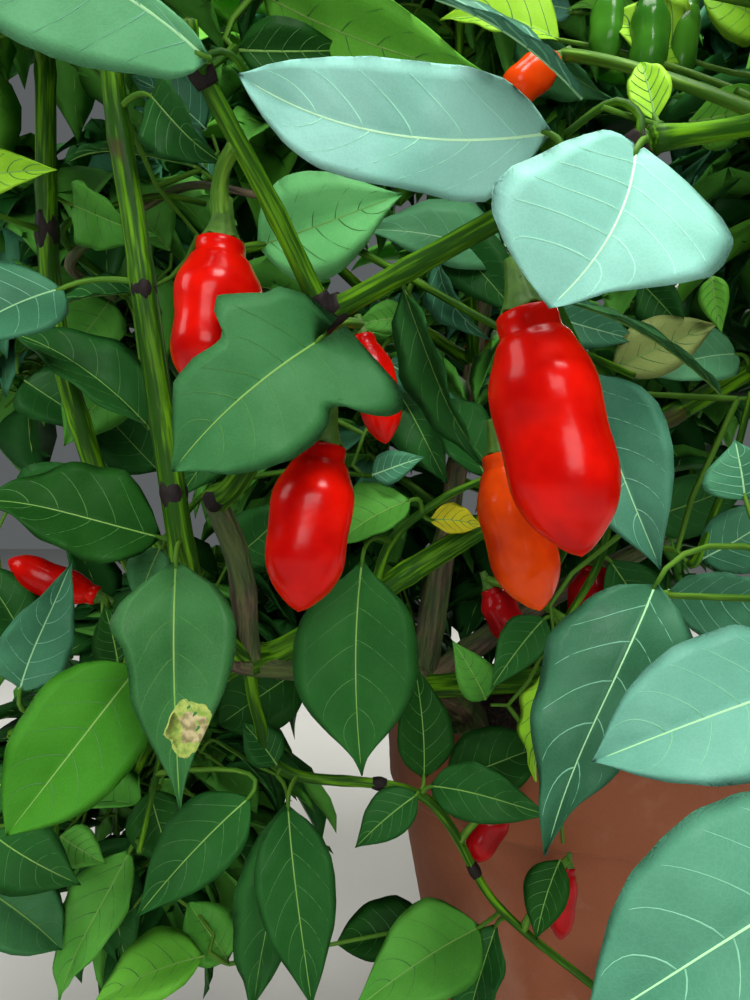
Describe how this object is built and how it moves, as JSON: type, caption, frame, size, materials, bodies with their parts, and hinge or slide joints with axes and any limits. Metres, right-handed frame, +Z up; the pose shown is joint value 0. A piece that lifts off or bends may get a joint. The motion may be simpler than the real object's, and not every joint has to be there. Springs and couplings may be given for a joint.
{
  "type": "potted chilli pepper plant",
  "caption": "Bushy chilli pepper plant with large drooping ovate leaves, ribbed green stems and hanging glossy red pods, leaning out of a round terracotta pot filled with soil.",
  "frame": {"origin": "centre of the pot's flat underside, where it stands", "axes": "+Z up, -Y towards the open front of the crown, +X to the right seen from the front"},
  "size_m": [0.906, 0.7686, 0.8639],
  "materials": {
    "terracotta": "matte unglazed clay",
    "potting_soil": "rough crumbly compost",
    "stem_bark": "brownish ribbed bark over green",
    "green_stem": "satin ribbed green stem",
    "foliage": "satin green leaves with glossy red pods"
  },
  "bodies": {
    "root": {"pot": "terracotta", "soil": "potting_soil", "trunk": "stem_bark", "bough_left_low": "green_stem", "bough_centre": "green_stem", "bough_right": "green_stem", "bough_back": "green_stem", "bough_right_front": "green_stem", "bough_left_rise": "green_stem", "bough_across": "green_stem", "bough_left": "green_stem", "bough_upper_right": "green_stem", "bough_upper_left": "green_stem", "bough_upper_front": "green_stem", "bough_low_right": "green_stem", "bough_right_back": "green_stem", "bough_back_left": "green_stem", "bough_back_low": "green_stem", "foliage_front": "foliage", "foliage_front_left": "foliage", "foliage_far_left": "foliage", "foliage_low_left": "foliage", "foliage_low_front": "foliage", "foliage_middle": "foliage", "foliage_under": "foliage", "foliage_right_front": "foliage", "foliage_right_high": "foliage", "foliage_across": "foliage", "foliage_inner_left": "foliage", "foliage_inner_right": "foliage", "foliage_inner_low": "foliage", "foliage_low_back_left": "foliage", "foliage_hanging_left": "foliage", "foliage_low_middle": "foliage", "foliage_over_pot": "foliage", "foliage_top": "foliage", "foliage_top_right": "foliage", "foliage_top_left": "foliage", "foliage_top_front": "foliage", "foliage_right": "foliage", "foliage_low_right": "foliage", "foliage_right_back": "foliage", "foliage_back": "foliage", "foliage_back_left": "foliage", "foliage_back_low": "foliage", "foliage_left": "foliage"}
  },
  "joints": []
}
